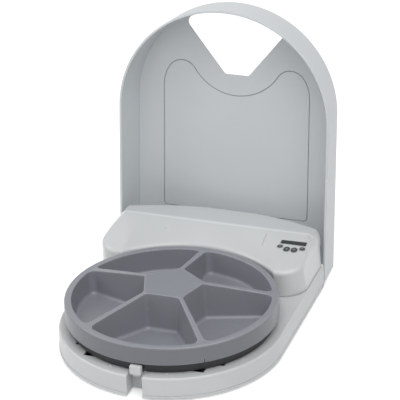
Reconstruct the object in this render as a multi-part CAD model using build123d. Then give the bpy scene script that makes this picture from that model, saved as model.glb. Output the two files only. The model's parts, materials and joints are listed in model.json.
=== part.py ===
from build123d import *
import os
from math import acos, atan2, cos, degrees, pi, radians, sin, sqrt, tan

# A round feeder with five covered compartments. The tray turns under a D-shaped lid that is hinged at the
# rear, and one compartment at a time comes under the lid's V-shaped opening. All sizes are in millimetres.
# The model is drawn about the tray's axis, with +Y to the rear, then moved so that its origin lies on the
# floor under the middle of the open feeder.

# Lower casing
rim_beyond_tray = 7.0
base_flare = 0.6
foot_height = 3.0
floor_thickness = 3.0
base_top = 27.0
casing_wall = 2.5
deck_thickness = 2.5
wide_end_back = 44.0
arm_room = 13.7
rear_back = 79.0
rear_arch_radius = 240.0
rim_round = 2.2
well_step = 1.8
well_corners = [(-54.9, 7.4), (-42.3, 4.0)]
nub_angles = (-106.0, -74.0, -30.0, -150.0, 25.0, 155.0)
nub_radius = 1.7
nub_height = 1.8
nub_taper = 0.7

# Front notch and latch
notch_half_width = 8.5
notch_depth = 18.0
notch_wall = 2.2
post_half_width = 6.2
post_inset = 4.0
post_depth = 5.6
post_height = 10.0
post_round = 1.0
latch_bar_half_width = 4.0
latch_bar_height = 4.0
latch_bar_rise = 0.4
latch_bar_reach = 30.0
latch_travel = 2.0
latch_spring_radius = 1.2
latch_spring_room = 10.0
latch_spring_pocket = 6.0

# Rear housing
housing_step = 2.9
lip_gap = 6.0
horn_angle = 43.31
horn_flat = 3.36
slope_drop = 14.0
lip_round = 4.5
crease_back = 33.0
crease_under_lid = 8.6
crease_round = 15.0
rear_slope = 0.13
side_round = 14.0
rear_corner = 10.0
dimple_at = (-53.2, 17.4)
dimple_radius = 2.2
dimple_depth = 0.8
mark_at = (61.5, 17.2)
mark_length = 21.0
mark_width = 0.7
mark_depth = 0.4

# Lid, drawn closed
lid_wall = 2.3
lid_draft = 3.6
lid_over_hub = 5.9
lid_edge_round = 4.0
lid_lean = 5.0
hinge_back = 0.2
hinge_z = 23.1
lid_overhang = 17.8
lid_sweep_gap = 0.8
v_bottom_y = -33.0
v_bottom_half_width = 13.8
v_half_angle = 38.4
v_rim = 11.0
v_outer_corner = 8.0
v_inner_corner = 4.0
groove_side_margin = 35.6
groove_rear_margin = 49.5
groove_corner = 5.0
groove_dip_y = -9.2
groove_ear_radius = 18.3
groove_ear_inset = 22.4
groove_ear_y = -27.0
groove_shoulder_radius = 40.0
groove_width = 0.9
groove_depth = 0.7

# Lid arms and hinge pins
pin_radius = 2.0
pin_head_radius = 3.4
pin_head = 1.2
pin_reach = 7.0
arm_radius = 6.0
arm_thickness = 4.6
arm_tall = 20.0
arm_web = 3.0
arm_shoulder_angle = 126.9
pocket_height = 51.5
boss_radius = 3.8

# Turntable
turntable_inset = 5.7
turntable_bottom = 28.0
turntable_plate = 2.5
turntable_rim = 1.5
turntable_rim_top = 40.5
turntable_hub_radius = 9.0
drive_boss_inradius = 28.0
drive_boss_height = 15.0
spindle_radius = 3.0
spindle_top = 43.0
spindle_boss_radius = 7.0
spindle_boss_top = 21.0
washer_radius = 8.5
washer_thickness = 1.0

# Tray
tray_radius = 115.0
tray_rim_height = 58.6
hub_height = 73.7
hub_flat_radius = 33.0
hub_inradius = 28.8
tray_wall = 1.8
skirt_bottom = 39.0
tray_edge_round = 1.6
tray_rim_width = 7.5
divider_half_width = 3.2
pocket_draft = 4.0
pocket_outer_draft = 6.0
pocket_corner = 7.0
pocket_floor_round = 4.0
pocket_rise = 6.0
skirt_slit = 1.2
skirt_slit_height = 4.0
compartments = 5

# Drive
gear_module = 1.0
wheel_module = 0.8
drive_teeth = 60
idler_teeth = 12
wheel_teeth = 48
pinion_teeth = 12
gear_width = 4.8
wheel_width = 4.5
wheel_bottom = 17.0
tooth_addendum = 0.8
tooth_dedendum = 1.25
tooth_fill = 0.92
pressure_angle = 20.0
flank_steps = 4
idler_direction = 90.0
motor_direction = 0.0
idler_pin_radius = 1.5
motor_radius = 12.2
motor_height = 8.5
motor_shaft_radius = 1.0
motor_shaft_end = 0.8
motor_boss_radius = 3.66
motor_round = 1.2
plate_bottom = 15.0
plate_thickness = 1.6
plate_size = (76.0, 48.0)
plate_centre = (6.0, 40.0)
plate_corner = 6.0
plate_posts = [(-27.0, 21.0), (-27.0, 59.0), (39.0, 59.0)]
plate_post_radius = 3.2
switch_at = (-46.0, -26.0)
switch_size = (19.8, 6.4, 10.2)
switch_seat = 5.0
switch_lever = (15.0, 3.5, 0.5)
switch_lever_tilt = 12.0
switch_roller_radius = 1.2
lobe_radius = 2.4
lobe_height = 1.6

# Batteries and door
cell_radius = 13.1
cell_length = 50.0
cell_gap = 0.4
cell_rows_back = 35.0
cell_side_room = 1.0
cell_tip_length = 1.6
cell_tip_radius = 3.93
contact_room = 5.6
contact_thickness = 0.5
contact_size = 18.0
contact_spring_radius = 5.0
box_wall = 2.0
door_thickness = 2.0
door_drop = 30.0
door_grip_width = 22.0
door_grip_depth = 6.0
door_rib = 0.8

# Display and buttons, set on a local plane of the sloped face
display_inset = (23.7, 21.7)
display_lean = -0.025
lens_at = (0.3, 3.6)
lens_size = (29.0, 6.4)
lens_thickness = 1.2
lens_corner = 0.8
lcd_margin = 1.2
lcd_depth = 4.3
button_list = [
    ("button_left", (-13.0, -4.4), (6.0, 4.8)),
    ("button_down", (-4.5, -8.4), (6.6, 8.0)),
    ("button_up", (4.0, -8.4), (6.6, 8.0)),
    ("button_right", (12.4, -5.0), (6.0, 4.8)),
]
button_proud = 0.5
button_depth = 3.0
button_flange = 0.7
button_flange_thickness = 0.8
button_stem_radius = 1.2
button_stem = 1.6
button_travel = 0.8
button_round = 0.4
board_size = (44.0, 36.0)
board_shift = (-5.0, -1.5)
board_thickness = 1.6
board_drop = 8.4
board_post_radius = 2.2
board_post_inset = 3.0
dome_switch = 4.0
chip_size = (10.0, 10.0, 1.8)
chip_shift = (-10.0, 4.0)
chip_sink = 0.2

# Feet and screws
foot_radius = 8.0
foot_round = 0.8
front_foot_inset = 17.6
front_foot_angle = 53.6
rear_foot_inset = (24.3, 17.2)
screw_radius = 1.45
screw_head_radius = 2.75
screw_head = 1.8
screw_length = 13.0
screw_boss_radius = 3.6
screw_ring_inset = 8.4
screw_ring_angles = (-112.0, -68.0, -20.0, -160.0)
screw_rear_inset = (16.3, 7.2)
screw_slot_length = 1.3
screw_slot_width = 0.3
small_screw_radius = 1.1
small_screw_head_radius = 2.2
small_screw_head = 1.3
small_screw_length = 5.0

# Clearances
running_clearance = 0.06
pin_fit = 0.02
body_gap = 0.3
loose_gap = 0.4

# How far a cut runs past the face it opens, how far a tool solid runs past the part, and what is level
past = 1.0
margin = 20.0
near_enough = 0.1

# Values worked out from the sizes above
base_radius = tray_radius + rim_beyond_tray
rear_half_width = base_radius - arm_room
lip_radius = tray_radius + lip_gap
wide_end_y = lip_radius + wide_end_back
rear_y = lip_radius + rear_back
hinge_y = wide_end_y + hinge_back
crease_y = lip_radius + crease_back
lid_rim_height = base_top + loose_gap
lid_height = hub_height + lid_over_hub
crease_height = lid_height - crease_under_lid
lip_height = crease_height - slope_drop
horn_y = lip_radius * sin(radians(horn_angle))
housing_half_width = base_radius - housing_step
horn_corner = housing_half_width - lip_radius * cos(radians(horn_angle)) - horn_flat
turntable_radius = tray_radius - turntable_inset
well_radius = turntable_radius - well_step
pocket_radius = tray_radius - tray_rim_width
notch_y = notch_depth - base_radius
post_front = base_radius - post_inset
latch_bar_end = base_radius - latch_bar_reach
latch_spring_stop = latch_bar_end - latch_spring_room
screw_ring_radius = base_radius - screw_ring_inset
foot_ring_radius = base_radius - front_foot_inset
cell_rows_y = lip_radius + cell_rows_back
base_bottom = foot_height
casing_bottom = base_bottom + floor_thickness
inner_x = rear_half_width
arm_inner_x = rear_half_width + 2 * body_gap
arm_outer_x = arm_inner_x + arm_thickness
pocket_outer_x = arm_outer_x + pin_head + 2 * body_gap
pocket_front_y = hinge_y - arm_radius - loose_gap
lid_rear_y = hinge_y + lid_overhang
panel_inside = lid_height - lid_wall
sweep_radius = panel_inside - hinge_z - lid_sweep_gap
v_outer_radius = base_radius - v_rim
groove_half_width = base_radius - groove_side_margin
groove_rear_y = lid_rear_y - groove_rear_margin
groove_ear_at = (groove_half_width - groove_ear_inset, groove_ear_y)
groove_ear_drop = groove_dip_y - groove_ear_y
groove_dip_radius = (groove_ear_at[0] ** 2 + groove_ear_drop**2 - groove_ear_radius**2) / (
    2 * (groove_ear_radius + groove_ear_drop)
)
turntable_top = turntable_bottom + turntable_plate
tray_bottom = turntable_top + body_gap
far = 400.0
idler_distance = gear_module * (drive_teeth + idler_teeth) / 2
motor_distance = wheel_module * (wheel_teeth + pinion_teeth) / 2
idler_at = (
    idler_distance * cos(radians(idler_direction)),
    idler_distance * sin(radians(idler_direction)),
)
motor_at = (
    idler_at[0] + motor_distance * cos(radians(motor_direction)),
    idler_at[1] + motor_distance * sin(radians(motor_direction)),
)
cell_z = base_bottom + door_thickness + loose_gap + cell_radius
box_half_x = cell_length + cell_gap + contact_room
box_half_y = 2 * cell_radius + cell_gap + cell_side_room
box_top = cell_z + cell_radius + loose_gap + box_wall


def box_between(low, high):
    """A box from its low corner to its high corner."""
    size = [b - a for a, b in zip(low, high)]
    middle = [(a + b) / 2 for a, b in zip(low, high)]
    return Pos(*middle) * Box(*size)


def rod(x, y, low, high, radius):
    """An upright cylinder at x, y between two heights."""
    return Pos(x, y, (low + high) / 2) * Cylinder(radius, high - low)


def cross_rod(low_x, high_x, y, z, radius):
    """A cylinder along X between two places."""
    return Pos((low_x + high_x) / 2, y, z) * Rot(0, 90, 0) * Cylinder(radius, high_x - low_x)


def slab(face, low, high):
    """A flat face raised to a solid between two heights."""
    return extrude(Pos(0, 0, low) * face, high - low)


def fused(pieces):
    """One solid from pieces that meet."""
    whole = pieces[0]
    for piece in pieces[1:]:
        whole = whole + piece
    return whole


def mirrored_pair(piece):
    """A piece and its mirror image across the middle plane."""
    return [piece, mirror(piece, Plane.YZ)]


def on_circle(radius, angle):
    """The point at an angle in degrees on a circle about the tray's axis."""
    return (radius * cos(radians(angle)), radius * sin(radians(angle)))


def arch_y(x, inset=0.0):
    """Where the arched rear wall lies at a place across the feeder."""
    return rear_y - rear_arch_radius + sqrt((rear_arch_radius - inset) ** 2 - x**2)


def base_plan(inset=0.0, flare=0.0):
    """The casing's outline: a half circle in front, straight sides, a step for the lid, an arched rear."""
    r = base_radius - inset + flare
    side = rear_half_width - inset
    end = wide_end_y - inset
    corner = arch_y(side, inset)
    edges = [
        ThreePointArc((-r, 0), (0, -r), (r, 0)),
        Line((r, 0), (r, end)),
        Line((r, end), (side, end)),
        Line((side, end), (side, corner)),
        ThreePointArc((side, corner), (0, arch_y(0, inset)), (-side, corner)),
        Line((-side, corner), (-side, end)),
        Line((-side, end), (-r, end)),
        Line((-r, end), (-r, 0)),
    ]
    return make_face(edges)


def hinge_pockets(grow=0.0):
    """The spaces beside the rear of the casing where the lid's arms turn."""
    low = base_bottom - past
    high = pocket_height + grow
    slot = box_between(
        (inner_x - grow, pocket_front_y - grow, low),
        (pocket_outer_x + grow, far, high),
    )
    open_side = box_between((inner_x - grow, wide_end_y - grow, low), (far, far, high))
    return fused(mirrored_pair(slot + open_side))


def screw_places():
    """The casing screws' places in plan."""
    x = rear_half_width - screw_rear_inset[0]
    y = hinge_y - screw_rear_inset[1]
    return [on_circle(screw_ring_radius, angle) for angle in screw_ring_angles] + [(-x, y), (x, y)]


def notch_cut():
    """The slot through the front wall."""
    return box_between(
        (-notch_half_width, -far, 0),
        (notch_half_width, notch_y, base_top + past),
    )


def latch_channel():
    """The way through the notch's rear block for the latch's bar."""
    half = latch_bar_half_width + body_gap
    low = base_top - latch_bar_height - body_gap
    return box_between((-half, -far, low), (half, 0, base_top + past))


def base_shell():
    """The lower casing: outer wall, deck with the turntable's well, notch block, bosses and nubs."""
    outer = slab(base_plan(), casing_bottom, base_top)
    front_rim = [
        edge
        for edge in outer.edges()
        if edge.center().Z > base_top - near_enough and edge.center().Y < wide_end_y - past
        and abs(edge.center().X) > base_radius - past
    ]
    arc_rim = [
        edge
        for edge in outer.edges()
        if edge.center().Z > base_top - near_enough and edge.center().Y < -past
    ]
    outer = fillet(front_rim + arc_rim, rim_round)
    outer = outer - hinge_pockets()
    inside = slab(base_plan(casing_wall), casing_bottom - past, base_top - deck_thickness)
    shell = outer - (inside - hinge_pockets(casing_wall))
    block = box_between(
        (-notch_half_width - notch_wall, -base_radius + past, casing_bottom),
        (notch_half_width + notch_wall, -latch_bar_end - 2 * past, base_top - deck_thickness),
    )
    shell = shell + block
    well = rod(0, 0, 0, base_top + past, well_radius)
    for angle, reach in well_corners:
        x, y = on_circle(well_radius + reach, angle)
        well = well + box_between((-x, y, 0), (x, 0, base_top + past))
    keep_block = box_between(
        (-notch_half_width - notch_wall, -base_radius, 0),
        (notch_half_width + notch_wall, -latch_bar_end - 2 * past, base_top),
    )
    top_of_well = box_between((-far, -far, base_top - deck_thickness - near_enough), (far, far, far))
    shell = shell - ((well & top_of_well) - keep_block)
    shell = shell - notch_cut() - latch_channel()
    cell_hole = box_between(
        (-box_half_x - box_wall - loose_gap, cell_rows_y - box_half_y - box_wall - loose_gap, 0),
        (box_half_x + box_wall + loose_gap, cell_rows_y + box_half_y + box_wall + loose_gap, far),
    )
    shell = shell - cell_hole
    for x, y in screw_places():
        boss = rod(x, y, casing_bottom, base_top - deck_thickness / 2, screw_boss_radius)
        shell = shell + (boss & slab(base_plan(), 0, far))
        shell = shell - rod(x, y, 0, base_bottom + screw_length + past, screw_radius + pin_fit)
    for side in (-1, 1):
        ends = sorted((side * (inner_x - pin_reach), side * inner_x))
        boss = cross_rod(ends[0], ends[1], hinge_y, hinge_z, boss_radius)
        shell = shell + (boss & box_between((-far, -far, 0), (far, far, base_top)))
        ends = sorted((side * (inner_x - pin_reach), side * far))
        shell = shell - cross_rod(ends[0], ends[1], hinge_y, hinge_z, pin_radius + pin_fit)
    for angle in nub_angles:
        x, y = on_circle(turntable_radius + body_gap + nub_radius, angle)
        nub = Pos(x, y, base_top - past) * Cone(nub_radius, nub_radius * nub_taper, 2 * nub_height)
        shell = shell + nub
    return shell


def bottom_cover():
    """The floor plate, with the spindle boss, the posts of the drive plate and the battery box."""
    cover = slab(base_plan(0, base_flare), base_bottom, casing_bottom) - hinge_pockets()
    cover = cover + rod(0, 0, casing_bottom - past, spindle_boss_top, spindle_boss_radius)
    cover = cover - rod(0, 0, casing_bottom, far, spindle_radius + pin_fit)
    for x, y in plate_posts:
        cover = cover + rod(x, y, casing_bottom - past, plate_bottom, plate_post_radius)
        cover = cover - rod(x, y, casing_bottom, far, small_screw_radius + pin_fit)
    low_y = cell_rows_y - box_half_y
    high_y = cell_rows_y + box_half_y
    cover = cover + box_between(
        (-box_half_x - box_wall, low_y - box_wall, base_bottom + door_thickness),
        (box_half_x + box_wall, high_y + box_wall, box_top),
    )
    cover = cover - box_between(
        (-box_half_x, low_y, 0),
        (box_half_x, high_y, box_top - box_wall),
    )
    cover = cover - box_between(
        (-box_half_x - box_wall, low_y - box_wall, 0),
        (box_half_x + box_wall, high_y + box_wall, base_bottom + door_thickness),
    )
    cover = cover - notch_cut()
    x, y = switch_at
    cover = cover + box_between(
        (x - switch_size[0] / 2, y - switch_size[1] / 2, casing_bottom - past),
        (x + switch_size[0] / 2, y + switch_size[1] / 2, casing_bottom + switch_seat),
    )
    stop = box_between(
        (-latch_bar_half_width, -latch_spring_stop, casing_bottom - past),
        (latch_bar_half_width, -latch_spring_stop + notch_wall, base_top - body_gap),
    )
    cover = cover + stop
    for x, y in screw_places():
        cover = cover - rod(x, y, 0, far, screw_radius + pin_fit)
        cover = cover - rod(x, y, 0, base_bottom + screw_head + pin_fit, screw_head_radius + pin_fit)
    return cover


def battery_door():
    """The flush door under the batteries, with a finger recess and grip ribs."""
    half_x = box_half_x + box_wall - body_gap
    half_y = box_half_y + box_wall - body_gap
    door = box_between(
        (-half_x, cell_rows_y - half_y, base_bottom),
        (half_x, cell_rows_y + half_y, base_bottom + door_thickness),
    )
    grip_y = cell_rows_y - half_y + 2 * door_grip_depth
    door = door - box_between(
        (-door_grip_width / 2, grip_y - door_grip_depth, base_bottom - past),
        (door_grip_width / 2, grip_y, base_bottom + door_thickness / 2),
    )
    for step in (1, 2, 3):
        y = grip_y - step * door_grip_depth / 4
        door = door + box_between(
            (-door_grip_width / 2, y - door_rib / 2, base_bottom + door_rib / 2),
            (door_grip_width / 2, y + door_rib / 2, base_bottom + door_thickness / 2),
        )
    return door


def battery_cells():
    """Four round cells in two rows, end to end in each row."""
    cells = []
    for row in (-1, 1):
        y = cell_rows_y + row * (cell_radius + cell_gap / 2)
        for side in (-1, 1):
            start = side * cell_gap / 2
            body_end = start + side * (cell_length - cell_tip_length)
            ends = sorted((start, body_end))
            cell = cross_rod(ends[0], ends[1], y, cell_z, cell_radius)
            tip = sorted((body_end - side * past, body_end + side * cell_tip_length))
            cells.append(cell + cross_rod(tip[0], tip[1], y, cell_z, cell_tip_radius))
    return Compound(cells)


def battery_contacts():
    """A spring contact on a plate at each outer end of the two rows."""
    contacts = []
    for row in (-1, 1):
        y = cell_rows_y + row * (cell_radius + cell_gap / 2)
        for side in (-1, 1):
            plate_far = side * (box_half_x - pin_fit)
            plate_near = plate_far - side * contact_thickness
            xs = sorted((plate_far, plate_near))
            plate = box_between(
                (xs[0], y - contact_size / 2, cell_z - contact_size / 2),
                (xs[1], y + contact_size / 2, cell_z + contact_size / 2),
            )
            tip = side * (cell_length + cell_gap / 2 + body_gap)
            ends = sorted((tip, plate_near + side * contact_thickness / 2))
            contacts.append(plate + cross_rod(ends[0], ends[1], y, cell_z, contact_spring_radius))
    return Compound(contacts)


def rubber_feet():
    """Four round rubber feet, face to face with the floor plate."""
    rear_x = rear_half_width - rear_foot_inset[0]
    rear_y_place = hinge_y - rear_foot_inset[1]
    places = [on_circle(foot_ring_radius, -90 + side * (90 - front_foot_angle)) for side in (-1, 1)]
    places += [(-rear_x, rear_y_place), (rear_x, rear_y_place)]
    feet = []
    for x, y in places:
        foot = rod(x, y, 0, foot_height, foot_radius)
        lower = foot.edges().sort_by(Axis.Z)[0]
        feet.append(fillet([lower], foot_round))
    return Compound(feet)


def cross_head_screw(x, y, seat, way, length, radius, head_radius, head):
    """A cross-head screw with its head on a seat. Its shank goes up where way is 1, or down for -1."""
    shank = sorted((seat - way * head / 2, seat + way * length))
    cap = sorted((seat, seat - way * head))
    screw = rod(x, y, shank[0], shank[1], radius) + rod(x, y, cap[0], cap[1], head_radius)
    slot_end = seat - way * head
    slot = sorted((slot_end, slot_end + way * head / 2))
    bar = Box(head_radius * screw_slot_length, head_radius * screw_slot_width, slot[1] - slot[0])
    for turn in (0, 90):
        screw = screw - Pos(x, y, (slot[0] + slot[1]) / 2) * Rot(0, 0, turn) * bar
    return screw


def casing_screws():
    """The screws that hold the floor plate to the lower casing, from below."""
    seat = base_bottom + screw_head
    shank = screw_length - screw_head
    sizes = (shank, screw_radius, screw_head_radius, screw_head)
    return Compound([cross_head_screw(x, y, seat, 1, *sizes) for x, y in screw_places()])


def plate_screws():
    """The screws that hold the drive plate on its posts."""
    seat = plate_bottom + plate_thickness
    sizes = (small_screw_length, small_screw_radius, small_screw_head_radius, small_screw_head)
    return Compound([cross_head_screw(x, y, seat, -1, *sizes) for x, y in plate_posts])


def hinge_pins():
    """The two headed steel pins that the lid turns on."""
    pins = []
    for side in (-1, 1):
        shank = sorted((side * (inner_x - pin_reach + pin_fit), side * (arm_outer_x + body_gap)))
        head = sorted((side * (arm_outer_x + body_gap), side * (arm_outer_x + body_gap + pin_head)))
        pin = cross_rod(shank[0], shank[1], hinge_y, hinge_z, pin_radius)
        pins.append(pin + cross_rod(head[0], head[1], hinge_y, hinge_z, pin_head_radius))
    return Compound(pins)


def latch_spring_rod(radius, end):
    """A cylinder along the latch spring's axis, from the stop to a place nearer the front."""
    z = base_top + (latch_bar_rise - latch_bar_height) / 2
    middle = -(end + latch_spring_stop) / 2
    return Pos(0, middle, z) * Rot(90, 0, 0) * Cylinder(radius, end - latch_spring_stop)


def latch():
    """The latch: a post in the front notch on a bar that slides under the turntable."""
    top = base_top + post_height
    back = -post_front + post_depth
    post = box_between((-post_half_width, -post_front, base_top), (post_half_width, back, top))
    upper = [edge for edge in post.edges() if edge.center().Z > top - near_enough]
    post = fillet(upper, post_round)
    bar = box_between(
        (-latch_bar_half_width, back - 2 * past, base_top - latch_bar_height),
        (latch_bar_half_width, -latch_bar_end, base_top + latch_bar_rise),
    )
    pocket = latch_spring_rod(latch_spring_radius + body_gap, latch_bar_end + latch_spring_pocket)
    return post + bar - pocket


def latch_spring():
    """The short spring that pushes the latch outward, from its stop into the bar's pocket."""
    end = latch_bar_end + latch_spring_pocket - latch_travel - loose_gap
    return latch_spring_rod(latch_spring_radius, end)


def housing_plan(inset=0.0):
    """The rear housing's outline: a hollow front round the tray, two rounded horns, an arched rear."""
    r = lip_radius + inset
    half = housing_half_width - inset
    front = horn_y + inset
    tip = sqrt(r**2 - front**2)
    turn = horn_corner - inset
    cx = half - turn
    cy = front + turn
    near = turn * sin(radians(45))
    corner = arch_y(half, inset)
    edges = [
        ThreePointArc((-tip, front), (0, r), (tip, front)),
        Line((tip, front), (cx, front)),
        ThreePointArc((cx, front), (cx + near, cy - near), (half, cy)),
        Line((half, cy), (half, corner)),
        ThreePointArc((half, corner), (0, arch_y(0, inset)), (-half, corner)),
        Line((-half, corner), (-half, cy)),
        ThreePointArc((-half, cy), (-cx - near, cy - near), (-cx, front)),
        Line((-cx, front), (-tip, front)),
    ]
    face = make_face(edges)
    rear = face.vertices().sort_by(Axis.Y)[-2:]
    return fillet(rear, rear_corner - inset)


def housing_crown(inset=0.0):
    """The housing's sides, which lean in as the lid's skirt does, and its level top, as a bar across."""
    lean = lid_draft / (lid_height - lid_rim_height)
    half = housing_half_width - inset
    top = crease_height - inset
    wide = half + lean * margin
    narrow = half - lean * (top - base_top)
    low = base_top - margin
    corners = [(-wide, 0, low), (wide, 0, low), (narrow, 0, top), (-narrow, 0, top)]
    profile = make_face(Polyline(*corners, close=True))
    upper = profile.vertices().sort_by(Axis.Z)[-2:]
    return extrude(fillet(upper, side_round - inset), far, dir=(0, 1, 0))


def housing_slope(inset=0.0):
    """Everything behind the sloped front face, which runs from the round lip to the straight crease."""
    tip = sqrt(lip_radius**2 - horn_y**2)
    sections = []
    levels = [
        (base_top - margin, horn_y, lip_radius),
        (lip_height - inset, horn_y, lip_radius),
        (crease_height - inset, crease_y, crease_y),
        (crease_height + 2 * margin, crease_y, crease_y),
    ]
    for z, near, bulge in levels:
        ends = [(-base_radius, near, z), (-tip, near, z), (tip, near, z), (base_radius, near, z)]
        if bulge > near:
            middle = ThreePointArc(ends[1], (0, bulge, z), ends[2])
        else:
            middle = Line(ends[1], ends[2])
        rear = [(base_radius, far, z), (-base_radius, far, z)]
        edges = [Line(ends[0], ends[1]), middle, Line(ends[2], ends[3])]
        edges += [Line(ends[3], rear[0]), Line(rear[0], rear[1]), Line(rear[1], ends[0])]
        sections.append(make_face(edges))
    return fused([loft(pair, ruled=True) for pair in zip(sections, sections[1:])])


def front_edges(body):
    """The top edges of the housing's walls in front of the crease."""
    turn_x = housing_half_width - horn_corner
    turn_y = horn_y + horn_corner
    picked = []
    for edge in body.edges():
        middle = edge @ 0.5
        x = abs(middle.X)
        off_wall = min(
            abs(sqrt(x**2 + middle.Y**2) - lip_radius),
            abs(sqrt((x - turn_x) ** 2 + (middle.Y - turn_y) ** 2) - horn_corner),
            abs(x - housing_half_width),
            abs(middle.Y - horn_y),
        )
        on_top = edge.bounding_box().min.Z > lip_height - near_enough and middle.Z < crease_height
        if on_top and off_wall < near_enough and middle.Y < crease_y:
            picked.append(edge)
    return picked


def crease_edges(body):
    """The straight top edge where the sloped face meets the rear face, and its two rounded ends."""
    picked = []
    for edge in body.edges():
        heights = [abs((edge @ along).Z - crease_height) for along in (0, 0.5, 1)]
        if max(heights) < 3 * near_enough and abs((edge @ 0.5).Y - crease_y) < body_gap:
            picked.append(edge)
    return picked


def housing_rear(inset=0.0):
    """Everything in front of the rear top, which falls away and then follows the lid's sweep."""
    radius = sweep_radius - inset
    top = crease_height - inset
    drop = rear_slope
    a = 1 + drop**2
    b = 2 * ((crease_y - hinge_y) - drop * (top - hinge_z))
    c = (crease_y - hinge_y) ** 2 + (top - hinge_z) ** 2 - radius**2
    run = (-b + sqrt(b**2 - 4 * a * c)) / (2 * a)
    edge = (crease_y + run, top - drop * run)
    middle_angle = atan2(edge[1] - hinge_z, edge[0] - hinge_y) / 2
    middle = (hinge_y + radius * cos(middle_angle), hinge_z + radius * sin(middle_angle))
    low = base_top - margin
    points = [(0, low), (0, top + margin), (crease_y, top + margin), (crease_y, top), edge]
    edges = [Line((0, *start), (0, *end)) for start, end in zip(points, points[1:])]
    edges.append(ThreePointArc((0, *edge), (0, *middle), (0, hinge_y + radius, hinge_z)))
    edges.append(Line((0, hinge_y + radius, hinge_z), (0, hinge_y + radius, low)))
    edges.append(Line((0, hinge_y + radius, low), (0, *points[0])))
    return Pos(-far / 2, 0, 0) * extrude(make_face(edges), far, dir=(1, 0, 0))


def housing_form(inset=0.0):
    """The whole housing's form, as a closed solid, an inset in from the outside."""
    form = slab(housing_plan(inset), base_top - (past if inset else 0.0), crease_height + margin)
    form = form & housing_slope(inset)
    if inset == 0:
        form = fillet(front_edges(form), lip_round)
    form = form & housing_crown(inset) & housing_rear(inset)
    if inset == 0:
        form = form.fillet(crease_round, crease_edges(form))
    return form


def display_plane():
    """The local plane of the display on the sloped face, with its X to the right."""
    slope = (crease_height - lip_height) / (crease_y - horn_y)
    x = housing_half_width - display_inset[0]
    y = crease_y - display_inset[1]
    return Plane(
        origin=(x, y, lip_height + slope * (y - horn_y)),
        x_dir=(1, 0, -display_lean),
        z_dir=(display_lean, -slope, 1),
    )


def oval(size, grow=0.0):
    """A flat round-ended outline, as long as its longer side."""
    width = size[0] + 2 * grow
    height = size[1] + 2 * grow
    if width > height:
        return SlotOverall(width, height)
    return Rot(0, 0, 90) * SlotOverall(height, width)


def on_display(shape):
    """A shape drawn on the display's plane, put in its place."""
    return display_plane() * shape


def board_posts():
    """The places of the circuit board's four posts on the display's plane."""
    half_x = board_size[0] / 2 - board_post_inset
    half_y = board_size[1] / 2 - board_post_inset
    corners = [(-half_x, -half_y), (half_x, -half_y), (-half_x, half_y), (half_x, half_y)]
    return [(board_shift[0] + x, board_shift[1] + y) for x, y in corners]


def surface_height(body, x, y):
    """The height of a body's uppermost face at a place."""
    meets = body.find_intersection_points(Axis((x, y, far), (0, 0, -1)))
    return max(point.Z for point, normal in meets)


def slope_mark(body):
    """The shallow groove that runs up the body's sloped face beside the display."""
    x = mark_at[0]
    near = crease_y - mark_at[1] - mark_length / 2
    low = surface_height(body, x, near)
    high = surface_height(body, x, near + mark_length)
    lean = degrees(atan2(high - low, mark_length))
    bar = Box(mark_width, mark_length, 2 * mark_depth)
    return Pos(x, near + mark_length / 2, (low + high) / 2) * Rot(lean, 0, 0) * bar


def housing_cover():
    """The rear housing: a shell over the batteries and the timer, with the display's openings."""
    outer = housing_form() - hinge_pockets()
    inner = housing_form(casing_wall) - hinge_pockets(casing_wall)
    shell = outer - inner
    for x, y in board_posts():
        post = on_display(Pos(x, y, -board_drop / 2) * Cylinder(board_post_radius, board_drop))
        shell = shell + (post & outer)
        hole = Pos(x, y, -board_drop) * Cylinder(small_screw_radius + pin_fit, 2 * small_screw_length)
        shell = shell - (on_display(hole) & inner)
    cut_low = -2 * casing_wall
    cut_deep = 3 * casing_wall
    window = RectangleRounded(lens_size[0] + 2 * pin_fit, lens_size[1] + 2 * pin_fit, lens_corner)
    shell = shell - on_display(Pos(lens_at[0], lens_at[1], cut_low) * extrude(window, cut_deep))
    for name, place, size in button_list:
        hole = extrude(oval(size, body_gap), cut_deep)
        shell = shell - on_display(Pos(place[0], place[1], cut_low) * hole)
    x = dimple_at[0]
    y = crease_y - dimple_at[1]
    dimple_z = surface_height(shell, x, y) + dimple_radius - dimple_depth
    return shell - Pos(x, y, dimple_z) * Sphere(dimple_radius) - slope_mark(shell)


def display_lens():
    """The clear window over the display, flush with the sloped face."""
    lens = extrude(RectangleRounded(*lens_size, lens_corner), lens_thickness)
    return on_display(Pos(lens_at[0], lens_at[1], -lens_thickness) * lens)


def lcd_module():
    """The liquid crystal display under the window, standing on the board."""
    thickness = board_drop - lcd_depth
    module = Box(lens_size[0] + 2 * lcd_margin, lens_size[1] + 2 * lcd_margin, thickness)
    return on_display(Pos(lens_at[0], lens_at[1], -lcd_depth - thickness / 2) * module)


def timer_board():
    """The timer's circuit board on its four posts, with a chip and four switches under the buttons."""
    board = Box(*board_size, board_thickness)
    board = Pos(board_shift[0], board_shift[1], -board_drop - board_thickness / 2) * board
    for x, y in board_posts():
        hole = Cylinder(small_screw_radius + pin_fit, 4 * board_thickness)
        board = board - Pos(x, y, -board_drop) * hole
    for name, place, size in button_list:
        stem_end = button_depth + button_flange_thickness + button_stem
        rise = board_drop - stem_end - button_travel - body_gap
        switch = Box(dome_switch, dome_switch, rise)
        board = board + Pos(place[0], place[1], -board_drop + rise / 2) * switch
    chip_z = -board_drop - board_thickness - chip_size[2] / 2 + chip_sink
    chip_at = Pos(board_shift[0] + chip_shift[0], board_shift[1] + chip_shift[1], chip_z)
    return on_display(board + chip_at * Box(*chip_size))


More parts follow.
